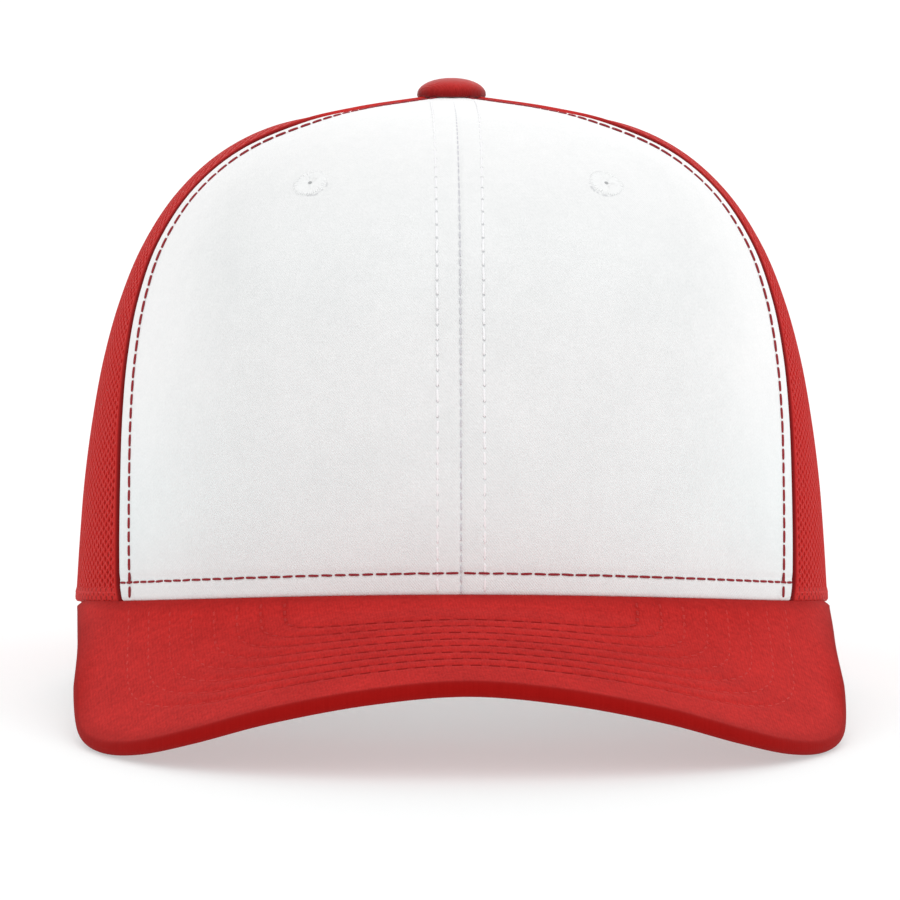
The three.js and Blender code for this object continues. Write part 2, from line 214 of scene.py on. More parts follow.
LEVELS = dict(zip(LEVEL_COLUMNS, np.array(LEVEL_ROWS, float).T))
PEAK_STEPS = dict(zip(PEAK_COLUMNS, np.array(PEAK_ROWS, float).T))

# Steps of what is worked out from the tables
SLOPE_STEP = 0.001
FINE_STEPS = 400
GORE_STEPS = 40
SEARCH_TURNS = 24

chance = random.Random(7)

# Light: the sky all round, a faint glow of the pale floor that keeps its shadows soft, and wide lights
# by name, the place that they come from, how wide each is in degrees, and strength
SKY_STRENGTH = 0.72
FLOOR_GLOW = 0.45
LIGHTS = (
    ("top", (0.2, -0.4, 1.4), 60, 0.35),
    ("front", (0.1, -1.4, 0.8), 40, 0.28),
    ("left", (-1.3, -0.5, 0.5), 50, 0.22),
    ("right", (1.3, -0.5, 0.5), 50, 0.38),
    ("back", (0, 1.3, 0.65), 45, 1),
)


def add_object(name, data):
    added = bpy.data.objects.new(name, data)
    bpy.context.scene.collection.objects.link(added)
    return added


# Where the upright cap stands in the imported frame, from the mount under its back strap
def cap_placement():
    rest = next(mount for mount in frame["record"]["mounts"] if mount["name"] == "rest_back")
    axis = rest["axis"]
    tilt = math.atan2(-axis[1], -axis[2])
    strap_middle = CROWN_REACH - (STRAP_DEPTHS[0] + STRAP_DEPTHS[1]) / 2
    foot = Matrix.Translation((0, -strap_middle, -STRAP_BOTTOM))
    return Matrix.Translation(rest["pos_m"]) @ Matrix.Rotation(-tilt, 4, "X") @ foot


CAP_PLACE = cap_placement()
CAP_TURN = np.array(CAP_PLACE.to_3x3())
CAP_SHIFT = np.array(CAP_PLACE.translation)


def in_frame(points):
    return points @ CAP_TURN.T + CAP_SHIFT


def make_camera():
    data = bpy.data.cameras.new("camera")
    data.lens = CAMERA_LENS
    data.clip_end = 50
    camera = add_object("camera", data)
    turn = Matrix.Rotation(-CAMERA_YAW, 4, "Z")
    back = Matrix.Translation((CAMERA_SIDE, -CAMERA_DISTANCE, CAMERA_HEIGHT))
    level_view = Matrix.Rotation(math.pi / 2, 4, "X")
    camera.matrix_world = CAP_PLACE @ turn @ back @ level_view
    bpy.context.scene.camera = camera


make_camera()


# Forms of the crown and the peak

# A smooth curve through one column of a table. A mirrored column is level where the table starts.
def along(table, column, share, mirrored=False):
    values = table[column]
    last = len(values) - 1
    first_before = values[1] if mirrored else 2 * values[0] - values[1]
    padded = np.concatenate([[first_before], values, [2 * values[-1] - values[-2]]])
    place = np.asarray(share, float) * last
    row = np.clip(np.floor(place), 0, last - 1).astype(int)
    start, end = padded[row + 1], padded[row + 2]
    leave = (end - padded[row]) / 2
    arrive = (padded[row + 3] - start) / 2
    part = place - row
    bend = leave + arrive - 2 * (end - start)
    return start + part * (leave + part * (end - start - leave - bend + part * bend))


def smooth_share(value, start, end):
    share = np.clip((value - start) / (end - start), 0, 1)
    return share * share * (3 - 2 * share)


# A rounded hump or dent that is 1 at its middle
def hump(distance, width):
    return np.exp(-((distance / width) ** 2))


# The share that a rounded edge has fallen away at a distance from it
def edge_fall(distance, radius):
    short = np.clip(1 - distance / radius, 0, 1)
    return 1 - np.sqrt(1 - short**2)


def dent(distance, size):
    return size[0] * hump(distance, size[1])


def fall(distance, size):
    return size[0] * edge_fall(distance, size[1])


# The length along a line of points, at each of them
def lengths_along(points):
    return np.concatenate([[0], np.cumsum(np.linalg.norm(np.diff(points, axis=0), axis=-1))])


def edge_height(angle):
    ahead = np.maximum(np.cos(angle), 0)
    behind = smooth_share(np.arccos(np.cos(angle)), DIP_START_ANGLE, DIP_END_ANGLE)
    return FRONT_EDGE_RISE * ahead**FRONT_EDGE_CURVE - BACK_EDGE_DIP * behind


def crown_radius(angle, level):
    ahead = np.cos(angle)
    side = CROWN_HALF_WIDTH * along(LEVELS, "side", level)
    front = CROWN_REACH * along(LEVELS, "front", level)
    back = CROWN_REACH * along(LEVELS, "back", level)
    square = along(LEVELS, "square", level)
    reach = np.where(ahead > 0, front, back)
    total = (np.abs(np.sin(angle)) / side) ** square + (np.abs(ahead) / reach) ** square
    return total ** (-1 / square)


def crown_skin(angle, level):
    radius = crown_radius(angle, level)
    low = edge_height(angle)
    height = low + (CROWN_HEIGHT - low) * along(LEVELS, "height", level)
    return np.stack(np.broadcast_arrays(radius * np.sin(angle), -radius * np.cos(angle), height), -1)


def normalised(vectors):
    return vectors / np.linalg.norm(vectors, axis=-1, keepdims=True)


def crown_outward(angle, level):
    sideways = crown_skin(angle + SLOPE_STEP, level) - crown_skin(angle - SLOPE_STEP, level)
    upward = crown_skin(angle, level + SLOPE_STEP) - crown_skin(angle, level - SLOPE_STEP)
    return normalised(np.cross(sideways, upward))


# Points a depth under the skin, one for all or one for each
def crown_point(angle, level, depth):
    return crown_skin(angle, level) - np.asarray(depth)[..., None] * crown_outward(angle, level)


FINE_SHARES = np.linspace(0, 1, FINE_STEPS)
FINE_HEIGHTS = along(LEVELS, "height", FINE_SHARES)
FINE_SIDES = CROWN_HALF_WIDTH * along(LEVELS, "side", FINE_SHARES)
TOP_LEVEL = float(np.interp(-CROWN_HOLE_RADIUS, -FINE_SIDES, FINE_SHARES))


# The level at which the crown's skin stands a height above its lower edge
def level_above(angle, rise):
    return np.interp(rise / (CROWN_HEIGHT - edge_height(angle)), FINE_HEIGHTS, FINE_SHARES)


# The angle and level of the skin's point a distance to the side and at a height
def crown_place(side, height, is_behind):
    angle = np.zeros_like(side * height)
    for _ in range(SEARCH_TURNS):
        level = level_above(angle, height - edge_height(angle))
        turned = np.arcsin(np.clip(side / crown_radius(angle, level), -1, 1))
        angle = math.pi - turned if is_behind else turned
    return angle, level


# The angle of the lower edge behind, a distance to the right
def edge_angle(side):
    return float(crown_place(np.array(side), np.array(-BACK_EDGE_DIP), True)[0])


def front_seam(level):
    return np.zeros_like(level)


# How far the seam behind the front panels turns in at their lower corner
def corner_tuck(level):
    return CORNER_TUCK * np.clip(1 - level / CORNER_LEVEL, 0, 1) ** 2


def side_seam(level):
    return np.radians(along(LEVELS, "seam", level)) - corner_tuck(level)


def rear_seam(level):
    return np.full_like(level, BACK_SEAM_ANGLE)


def back_seam(level):
    return np.full_like(level, math.pi)


class Gore:
    """A panel of the crown between two seams, on the right, side 1, or the left, side -1."""

    def __init__(self, side, near_seam, far_seam):
        self.side = side
        self.near_seam = near_seam
        self.far_seam = far_seam
        self.levels = np.linspace(0, TOP_LEVEL, FINE_STEPS)
        shares = np.linspace(0, 1, GORE_STEPS + 1)[:, None]
        skin = crown_skin(self.angle(shares, self.levels[None, :]), self.levels[None, :])
        self.widths = np.linalg.norm(np.diff(skin, axis=0), axis=-1).sum(axis=0)
        self.rises = lengths_along(skin[GORE_STEPS // 2])

    def angle(self, share, level):
        near = self.near_seam(level)
        return self.side * (near + (self.far_seam(level) - near) * share)

    def width(self, level):
        return np.interp(level, self.levels, self.widths)

    def rise(self, level):
        return np.interp(level, self.levels, self.rises)

    def level(self, rise):
        return np.interp(rise, self.rises, self.levels)


def peak_middle(angle, across):
    share = np.abs(angle) / PEAK_SPAN
    overhang = PEAK_LENGTH * along(PEAK_STEPS, "overhang", share, mirrored=True)
    heading = np.sign(angle) * np.radians(along(PEAK_STEPS, "heading", share))
    drop = PEAK_DROP * along(PEAK_STEPS, "drop", share, mirrored=True)
    lean = np.hypot(overhang, drop) / overhang
    out = overhang * (1 - across)
    root = crown_skin(angle, np.zeros_like(angle))
    height = root[..., 2] - CLEARANCE - PEAK_HALF_THICKNESS * lean - drop * (1 - across)
    point = np.stack(
        [root[..., 0] + out * np.sin(heading), root[..., 1] - out * np.cos(heading), height], -1
    )
    return point, lean


def peak_outward(angle, across):
    sideways = peak_middle(angle + SLOPE_STEP, across)[0] - peak_middle(angle - SLOPE_STEP, across)[0]
    backward = peak_middle(angle, across + SLOPE_STEP)[0] - peak_middle(angle, across - SLOPE_STEP)[0]
    return normalised(np.cross(sideways, backward))


PEAK_EDGE = peak_middle(np.linspace(-PEAK_SPAN, PEAK_SPAN, 241), np.zeros(241))[0]
PEAK_EDGE_LENGTHS = lengths_along(PEAK_EDGE)


# The distance of points of the peak from its outer edge, and the length along that edge there
def from_peak_edge(points):
    starts = PEAK_EDGE[:-1]
    runs = np.diff(PEAK_EDGE, axis=0)
    offsets = points[:, None, :] - starts[None]
    shares = np.clip((offsets * runs).sum(-1) / (runs * runs).sum(-1), 0, 1)
    distances = np.linalg.norm(offsets - shares[..., None] * runs, axis=-1)
    nearest = distances.argmin(axis=1)
    rows = np.arange(len(points))
    lengths = PEAK_EDGE_LENGTHS[nearest] + shares[rows, nearest] * np.diff(PEAK_EDGE_LENGTHS)[nearest]
    return distances[rows, nearest], lengths


# Making pieces

def read_corners(mesh):
    corners = np.empty(len(mesh.vertices) * 3)
    mesh.vertices.foreach_get("co", corners)
    return corners.reshape(-1, 3)


def write_corners(mesh, points):
    mesh.vertices.foreach_set("co", in_frame(points).ravel())
    mesh.update()


def add_map(mesh, name, across, up):
    corner_of_loop = np.empty(len(mesh.loops), int)
    mesh.loops.foreach_get("vertex_index", corner_of_loop)
    places = np.stack([across, up], -1)[corner_of_loop]
    mesh.uv_layers.new(name=name).data.foreach_set("uv", places.ravel())


def mesh_of(name, bm):
    mesh = bpy.data.meshes.new(name)
    bm.to_mesh(mesh)
    bm.free()
    return mesh


def piece_of(name, mesh, material, replaces=()):
    mesh.shade_smooth()
    mesh.materials.clear()
    mesh.materials.append(material)
    piece = add_object(name, mesh)
    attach(piece, "root")
    if replaces:
        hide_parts(*replaces)
    return piece


# A grid of faces. form puts its corners in their places and gives the maps that the finish reads.
def formed_mesh(name, columns, rows, form):
    bm = bmesh.new()
    bmesh.ops.create_grid(bm, x_segments=columns, y_segments=rows, size=0.5)
    mesh = mesh_of(name, bm)
    shares = np.clip(np.round(read_corners(mesh)[:, :2] + 0.5, 6), 0, 1)
    points, maps = form(shares[:, 0], shares[:, 1])
    write_corners(mesh, points)
    for title, (across, up) in maps.items():
        add_map(mesh, title, across, up)
    return mesh


# Merges the corners that meet, fills open ends and turns the faces outwards
def close_up(bm):
    bmesh.ops.remove_doubles(bm, verts=bm.verts, dist=1e-6)
    bmesh.ops.holes_fill(bm, edges=[edge for edge in bm.edges if edge.is_boundary], sides=0)
    bmesh.ops.recalc_face_normals(bm, faces=bm.faces)


# A grid rolled into a closed tube along its length
def formed_tube(name, stations, around, form):
    mesh = formed_mesh(name, stations, around, form)
    bm = bmesh.new()
    bm.from_mesh(mesh)
    close_up(bm)
    bm.to_mesh(mesh)
    bm.free()
    return mesh


def joined(name, meshes):
    bm = bmesh.new()
    for mesh in meshes:
        bm.from_mesh(mesh)
        bpy.data.meshes.remove(mesh)
    return mesh_of(name, bm)


def thicken(piece, wall):
    solid = piece.modifiers.new("wall", "SOLIDIFY")
    solid.thickness = wall
    solid.offset = -1


# Shares crowded towards both ends of a row
def crowded(share, strength=0.75):
    return share - strength * np.sin(2 * math.pi * share) / (2 * math.pi)


# Materials

# A method of a signal that adds a Math node. A reflected one takes the other value first.
def math_node(operation, reflected=False):
    def method(signal, *others):
        values = (*others, signal) if reflected else (signal, *others)
        return signal.finish.node("ShaderNodeMath", {"operation": operation}, dict(enumerate(values)))

    return method


class Signal:
    """A socket of a material's nodes. An expression on it adds Math nodes."""

    def __init__(self, finish, socket):
        self.finish = finish
        self.socket = socket

    __add__ = math_node("ADD")
    __radd__ = math_node("ADD", reflected=True)
    __sub__ = math_node("SUBTRACT")
    __rsub__ = math_node("SUBTRACT", reflected=True)
    __mul__ = math_node("MULTIPLY")
    __rmul__ = math_node("MULTIPLY", reflected=True)
    __truediv__ = math_node("DIVIDE")
    __rtruediv__ = math_node("DIVIDE", reflected=True)
    __pow__ = math_node("POWER")
    __abs__ = math_node("ABSOLUTE")
    least = math_node("MINIMUM")
    most = math_node("MAXIMUM")
    fraction = math_node("FRACT")
    whole = math_node("FLOOR")
    sine = math_node("SINE")

    # 0 below start and 1 above end, with a soft slope between
    def above(self, start, end):
        settings = {"interpolation_type": "SMOOTHSTEP"}
        inputs = {"Value": self, "From Min": start, "From Max": end}
        return self.finish.node("ShaderNodeMapRange", settings, inputs)

    def below(self, start, end):
        return 1 - self.above(start, end)


class Finish:
    """A material's node tree."""

    def __init__(self, name):
        self.material = bpy.data.materials.new(name)
        self.material.use_nodes = True
        self.nodes = self.material.node_tree.nodes
        self.nodes.clear()

    def node(self, kind, settings=None, inputs=None, output=0):
        made = self.nodes.new(kind)
        for setting, value in (settings or {}).items():
            setattr(made, setting, value)
        for name, value in (inputs or {}).items():
            self.feed(made.inputs[name], value)
        return Signal(self, made.outputs[output]) if made.outputs else None

    def feed(self, socket, value):
        if isinstance(value, Signal):
            self.material.node_tree.links.new(value.socket, socket)
        else:
            socket.default_value = value

    # The two directions of one of the piece's own maps, in metres
    def map(self, name):
        places = self.node("ShaderNodeUVMap", {"uv_map": name})
        split = {"Vector": places}
        return (
            self.node("ShaderNodeSeparateXYZ", inputs=split, output="X"),
            self.node("ShaderNodeSeparateXYZ", inputs=split, output="Y"),
        )

    def object_places(self):
        return self.node("ShaderNodeTexCoord", output="Object")

    # Soft noise whose lumps are about a size across, from 0 to 1
    def noise(self, size, detail=2.0, places=None, roughness=0.5):
        inputs = {
            "Vector": places or self.object_places(),
            "Scale": 1 / size,
            "Detail": detail,
            "Roughness": roughness,
        }
        return self.node("ShaderNodeTexNoise", inputs=inputs, output="Fac")

    def blend(self, share, first, second):
        inputs = {0: share, 6: first, 7: second}
        return self.node("ShaderNodeMix", {"data_type": "RGBA"}, inputs, output=2)

    def bump(self, height, distance):
        inputs = {"Height": height, "Distance": distance, "Strength": 1.0}
        return self.node("ShaderNodeBump", inputs=inputs)

    def surface(self, colour, shine, normal=None):
        inputs = {"Base Color": colour, **shine}
        if normal:
            inputs["Normal"] = normal
        shader = self.node("ShaderNodeBsdfPrincipled", inputs=inputs)
        self.node("ShaderNodeOutputMaterial", inputs={"Surface": shader})
        return self.material


def rgb(red, green, blue):
    """A colour by its screen values from 0 to 255."""
    def linear(value):
        share = value / 255
        return share / 12.92 if share <= 0.04045 else ((share + 0.055) / 1.055) ** 2.4

    return (linear(red), linear(green), linear(blue), 1.0)


COTTON = {"Roughness": 0.9, "Specular IOR Level": 0.09, "Sheen Weight": 0.02, "Sheen Roughness": 0.5}
BUTTON_COTTON = {**COTTON, "Specular IOR Level": 0.2, "Sheen Weight": 0.3, "Sheen Roughness": 0.4}
OPEN_KNIT = {"Roughness": 0.75, "Specular IOR Level": 0.16}
FOLDED_KNIT = {"Roughness": 0.8, "Specular IOR Level": 0.16}
THREAD = {"Roughness": 0.7, "Specular IOR Level": 0.15}
SHADE_TONED_THREAD = {"Roughness": 0.7, "Specular IOR Level": 0.1}

# The widths of the cottons' ribs
FINE_RIB = 0.0006
PEAK_RIB = 0.00062
COARSE_RIB = 0.0007


# The height of a twill's diagonal ribs, from 0 to 1
def twill(across, leaning, rib):
    diagonal = (across + leaning) / (rib / (2 * math.pi))
    return diagonal.sine() * 0.5 + 0.5


# 1 on the needle holes of a stitched row, at a distance from the row and a length along it
def needle_holes(distance, length, pitch, radius):
    reach = ((length / pitch).fraction() - 0.5) * (pitch / radius)
    side = distance / radius
    return (side * side + reach * reach).below(0.2, 1.6)


# Woven cotton: ribs, thread noise and faint cloudiness of its colour, as shade and height
def cotton_weave(finish, across, up, rib, lean=0.8, ribbing=1.0, stretch=1.0, contrast=1.0):
    ribs = twill(across, up * lean, rib) * ribbing
    places = finish.node("ShaderNodeCombineXYZ", inputs={"X": across, "Y": up / stretch})
    threads = finish.noise(0.0006, 3.0, places, roughness=0.65)
    lumps = finish.noise(0.0025, 2.0)
    clouds = finish.noise(0.015, 3.0)
    uneven = (threads - 0.5) * 1.3 + (lumps - 0.5) * 0.5 + (clouds - 0.5) * 0.5
    shade = (ribs - 0.5 * ribbing) * 0.24 + uneven * contrast + 0.5
    return shade.least(1).most(0), ribs * 0.4 + threads * 0.9


def cotton(name, light, dark, rib):
    finish = Finish(name)
    across, up = finish.map("cloth")
    shade, height = cotton_weave(finish, across, up, rib)
    colour = finish.blend(shade, dark, light)
    return finish.surface(colour, COTTON, finish.bump(height, 0.0001))


# The button's cotton, drawn tight over its dome, with painted shade where it turns in under the rim
def button_cotton(name, light, dark, under):
    finish = Finish(name)
    across, up = finish.map("cloth")
    height_up = finish.map("rise")[1]
    shade, height = cotton_weave(finish, across, up, FINE_RIB)
    cloth = finish.blend(shade, dark, light)
    # Painted shade: darker towards the bottom, where the cloth turns in under the rim
    colour = finish.blend(height_up.below(-0.0002, 0.0024) * 0.8, cloth, under)
    return finish.surface(colour, BUTTON_COTTON, finish.bump(height, 0.00012))


# The front panels' white twill, in pairs of a light and a dark tone: plain, lighter towards its sides
# and top as painted light, and lighter and bluer along its lower edge as painted light that cancels
# the peak's red reflected light and its shade there. It has the needle holes of the rows beside the
# centre seam, the eyelet's hole painted grey as painted shade, and painted shade on the lower half of
# the sunk rim round it.
def front_cotton(name, plain, painted_light_tone, red_bounce_cancel_tone):
    finish = Finish(name)
    across, up = finish.map("cloth")
    from_side = finish.map("edge")[0]
    shade, height = cotton_weave(finish, across, up, FINE_RIB)
    tones = [finish.blend(shade, dark, light) for light, dark in (plain, painted_light_tone, red_bounce_cancel_tone)]
    # Painted light: the sides and top take the lighter tones, and the lower edge the bluer ones
    outer = from_side.below(0.008, 0.048).most(up.above(0.06, 0.125))
    cloth = finish.blend(outer, tones[0], tones[1])
    cloth = finish.blend(up.below(0.01, 0.06) * 0.8, cloth, tones[2])
    holes = needle_holes(abs(across) - CENTRE_ROW_OFFSET, up, CENTRE_ROW_PITCH, NEEDLE_HOLE_RADIUS)
    side = abs(across) - EYELET_MAP[0]
    rise = up - EYELET_MAP[1]
    from_eyelet = (side * side + rise * rise) ** 0.5
    # Painted shade: the eyelet's hole is grey, as the shaded inside seen through it
    eyelet_hole = from_eyelet.below(EYELET_HOLE_RADIUS * 0.6, EYELET_HOLE_RADIUS * 1.5)
    # Painted shade on the lower half of the sunk rim round the eyelet, broken up by noise
    rim = abs(from_eyelet - EYELET_RADIUS).below(0.0001, 0.0005)
    rim = rim * finish.noise(0.0012, 1.0).above(0.4, 0.6) * rise.below(-0.001, 0.001)
    colour = finish.blend((holes * 0.55).most(rim * 0.45), cloth, rgb(176, 178, 182))
    colour = finish.blend(eyelet_hole * 0.8, colour, rgb(150, 152, 154))
    normal = finish.bump(height * 0.6 - holes - eyelet_hole, 0.0001)
    return finish.surface(colour, COTTON, normal)


# The peak's twill, with painted shade in the valleys of its rows of stitches across its middle, where
# it turns round the edge, near the edge at its sides and where it goes in under the crown
def peak_cotton(name, light, dark, edge):
    finish = Finish(name)
    across, up = finish.map("cloth")
    from_edge = finish.map("edge")[0]
    weave = {"lean": 0.06, "ribbing": 0.4, "stretch": 2.6, "contrast": 0.8}
    shade, height = cotton_weave(finish, across, up, PEAK_RIB, **weave)
    row = ((from_edge - PEAK_FIRST_ROW) / PEAK_ROW_PITCH + 0.5).fraction() - 0.5
    first, last = PEAK_SEWN_ROWS[0], PEAK_SEWN_ROWS[-1]
    sewn = from_edge.above(first - 0.002, first - 0.001) * from_edge.below(last + 0.001, last + 0.002)
    valley = abs(row).below(0.05, 0.2) * sewn
    middle = abs(across).below(0.02, 0.065)
    # Painted shade in the valleys of the rows, across the middle of the peak
    cloth = finish.blend(shade - valley * middle * 0.2, dark, light)
    # Painted shade: the turned edge, the sides near the edge and the root under the crown take the edge
    # tone
    corner = from_edge.below(0.0005, 0.007) * (1 - middle)
    rim = (from_edge.below(0.001, 0.003) * 0.85).most(corner * 0.5)
    rim = rim.most(finish.map("root")[0].below(0.0003, 0.006) * 0.4)
    colour = finish.blend(rim, cloth, edge)
    normal = finish.bump(height * 0.25, 0.0002)
    return finish.surface(colour, COTTON, normal)


# Knitted polyester bars of the mesh
def knit(name, light, dark):
    finish = Finish(name)
    across, up = finish.map("cloth")
    strands = (across / 0.00022).sine() * (up / 0.00019).sine()
    fuzz = finish.noise(0.0005, 2.0)
    colour = finish.blend(strands * 0.25 + fuzz * 0.5 + 0.1, dark, light)
    normal = finish.bump(strands * 0.3 + fuzz * 0.7, 0.0001)
    return finish.surface(colour, OPEN_KNIT, normal)


# The mesh folded double along a panel's edge, with painted shade in the seam and its holes closed to
# dimples away from it, darkened as painted shade in their pits
def folded_knit(name, light, dark):
    finish = Finish(name)
    across, up = finish.map("cloth")
    column = across / COLUMN_PITCH
    shift = (column.whole() * 0.5).fraction()
    side = (column.fraction() - 0.5) * (COLUMN_PITCH / 0.0004)
    height = ((up / HOLE_PITCH + shift).fraction() - 0.5) * (HOLE_PITCH / 0.0005)
    dimple = (side * side + height * height).below(0.3, 1.6) * across.above(0.0022, 0.0026)
    fuzz = finish.noise(0.0005, 2.0)
    bright = finish.blend(fuzz, dark, light)
    # Painted shade in the dimples
    pitted = finish.blend(dimple * 0.6, bright, rgb(110, 10, 12))
    # Painted shade in the seam, below the top of the cap
    shaded = across.below(0.0006, 0.0017) * up.below(0.12, 0.14)
    colour = finish.blend(shaded * 0.95, pitted, rgb(108, 4, 7))
    normal = finish.bump(fuzz * 0.3 - dimple, 0.0003)
    return finish.surface(colour, FOLDED_KNIT, normal)


# Sewing thread. A shade tone is painted shade, darker in the middle of the cap than at its sides.
def thread(name, light, dark, painted_shade_tone=None):
    finish = Finish(name)
    fuzz = finish.noise(0.0003, 1.0)
    colour = finish.blend(fuzz, dark, light)
    if painted_shade_tone:
        # Painted shade: the thread is darker towards the middle of the cap
        side = abs(finish.node("ShaderNodeSeparateXYZ", inputs={"Vector": finish.object_places()}))
        colour = finish.blend(side.below(0.018, 0.055) * 0.85, colour, painted_shade_tone)
    return finish.surface(colour, SHADE_TONED_THREAD if painted_shade_tone else THREAD, finish.bump(fuzz, 0.00004))


def moulded_plastic(name, light, dark):
    finish = Finish(name)
    clouds = finish.noise(0.01, 3.0)
    grain = finish.noise(0.0004, 2.0)
    colour = finish.blend(clouds, dark, light)
    return finish.surface(colour, {"Roughness": grain * 0.15 + 0.38}, finish.bump(grain, 0.00002))


# Where an eyelet is on its panel's map: its distances from the centre seam and from the lower edge
def eyelet_map():
    gore = Gore(1, front_seam, side_seam)
    angle, level = crown_place(np.array(EYELET_SIDE), np.array(EYELET_HEIGHT), False)
    share = float(angle) / float(side_seam(level))
    return share * float(gore.width(level)), float(gore.rise(level))


EYELET_MAP = eyelet_map()
# The lighter pair and the bluer pair of tones are painted light
WHITE_TWILL = front_cotton(
    "white_twill",
    plain=(rgb(243, 244, 244), rgb(226, 228, 228)),
    painted_light_tone=(rgb(254, 254, 254), rgb(243, 244, 244)),
    red_bounce_cancel_tone=(rgb(243, 250, 250), rgb(228, 236, 236)),
)
# The peak's last tone is its painted shade
PEAK_TWILL = peak_cotton("peak_twill", rgb(218, 44, 40), rgb(152, 14, 13), rgb(144, 5, 3))
RED_TWILL = cotton("red_twill", rgb(206, 38, 36), rgb(162, 22, 22), COARSE_RIB)
BUTTON_TWILL = button_cotton("button_twill", rgb(212, 50, 46), rgb(168, 28, 28), rgb(120, 2, 4))
RED_TAPE = cotton("red_tape", rgb(200, 38, 38), rgb(168, 22, 24), COARSE_RIB)
RED_KNIT = knit("red_knit", rgb(224, 50, 46), rgb(186, 28, 26))
RED_FOLDED_KNIT = folded_knit("red_folded_knit", rgb(216, 46, 42), rgb(182, 28, 26))
RED_THREAD = thread("red_thread", rgb(168, 56, 62), rgb(126, 36, 43))
MATCHED_THREAD = thread("matched_red_thread", rgb(216, 50, 46), rgb(186, 32, 30))
# The peak's thread has painted shade towards the middle of the cap
PEAK_THREAD = thread("peak_red_thread", rgb(208, 54, 50), rgb(180, 36, 34), rgb(136, 14, 12))
WHITE_THREAD = thread("white_thread", rgb(254, 254, 255), rgb(244, 244, 246))
EYELET_THREAD = thread("eyelet_thread", rgb(251, 252, 252), rgb(243, 244, 244))
GREY_THREAD = thread("grey_thread", rgb(226, 226, 230), rgb(204, 204, 210))
RED_PLASTIC = moulded_plastic("red_plastic", rgb(186, 40, 40), rgb(160, 26, 28))


# Stitches

# One stitch: a bar with blunt rounded ends, 2 long, wide and high
def stitch_shape():
    bm = bmesh.new()
    bmesh.ops.create_uvsphere(bm, u_segments=6, v_segments=6, radius=1)
    for vert in bm.verts:
        reach = vert.co.xy.length
        blunt = 1 / math.sqrt(reach) if reach > 0.01 else 1
        vert.co.x *= blunt
        vert.co.y *= blunt
        vert.co.z *= 1.35 - 0.35 * vert.co.z**2
    return mesh_of("stitch", bm)


STITCH = stitch_shape()


# Adds a copy of a small shape to a bmesh, placed by a matrix
def add_copy(bm, shape, matrix):
    before = len(bm.verts)
    bm.from_mesh(shape)
    bm.verts.ensure_lookup_table()
    bmesh.ops.transform(bm, matrix=matrix, verts=bm.verts[before:])


# The point or direction of a line at a length along it
def at_length(values, lengths, place):
    return np.array([np.interp(place, lengths, values[:, axis]) for axis in range(3)])


class StitchRun:
    """Stitches of one thread, gathered from any number of rows."""

    def __init__(self):
        self.rows = []

    # One row along a line of the upright cap's points, with the cloth's outward direction at each
    def row(self, points, outward, pitch=STITCH_PITCH, length=STITCH_LENGTH, width=STITCH_WIDTH,
            height=STITCH_HEIGHT):
        bm = bmesh.new()
        points = in_frame(points)
        outward = outward @ CAP_TURN.T
        lengths = lengths_along(points)
        count = int(lengths[-1] / pitch)
        for index in range(count):
            middle = (index + 0.5) * lengths[-1] / count
            reach = length / 2 * chance.uniform(0.92, 1.05)
            start = at_length(points, lengths, middle - reach)
            end = at_length(points, lengths, middle + reach)
            up = Vector(at_length(outward, lengths, middle))
            run = Vector(end - start).normalized()
            run.rotate(Matrix.Rotation(chance.uniform(-STITCH_SLANT, STITCH_SLANT), 3, up))
            side = up.cross(run).normalized()
            up = run.cross(side)
            axes = Matrix((side * width / 2, up * height / 2, run * reach)).transposed()
            place = Matrix.Translation(at_length(points, lengths, middle))
            add_copy(bm, STITCH, place @ axes.to_4x4())
        bmesh.ops.recalc_face_normals(bm, faces=bm.faces)
        self.rows.append(mesh_of("stitch_row", bm))

    def piece(self, name, material, slot=None):
        piece_of(name, joined(name, self.rows), material)


# A row on the crown, through angles and levels
def crown_row(run, angle, level, depth=0.0, **sizes):
    run.row(crown_point(angle, level, depth), crown_outward(angle, level), **sizes)


# Front panels

# How deep a front panel lies under the crown's skin, with its dents, turned edges and soft waves
def front_depth(from_centre, from_side, rise):
    return (
        dent(from_centre, CENTRE_SEAM_DENT) * (1 - smooth_share(rise, 0.1, 0.16))
        + dent(from_centre - CENTRE_ROW_OFFSET, CENTRE_ROW_DENT)
        + dent(from_side - SIDE_ROW_INSET, SIDE_ROW_DENT)
        + fall(from_side, PANEL_SIDE_FALL)
        + dent(rise - BOTTOM_ROW_RISE, BOTTOM_ROW_DENT)
        + fall(rise, PANEL_BOTTOM_FALL)
        - PANEL_WAVE * np.sin(from_centre / 0.011 + 0.8) * np.sin(rise / 0.014)
    )


def front_panel(side, name):
    gore = Gore(side, front_seam, side_seam)

    def form(across, up):
        share = crowded(across if side > 0 else 1 - across)
        level = TOP_LEVEL * crowded(up, 0.5)
        width = gore.width(level)
        from_centre = share * width
        from_side = width - from_centre
        rise = gore.rise(level)
        depth = front_depth(from_centre, from_side, rise)
        points = crown_point(gore.angle(share, level), level, depth)
        return points, {"cloth": (side * from_centre, rise), "edge": (from_side, rise)}

    title = f"front_twill_{name}"
    mesh = formed_mesh(title, 90, 130, form)
    piece = piece_of(title, mesh, WHITE_TWILL, [f"front_panel_{name}"])
    thicken(piece, FRONT_CLOTH_WALL)


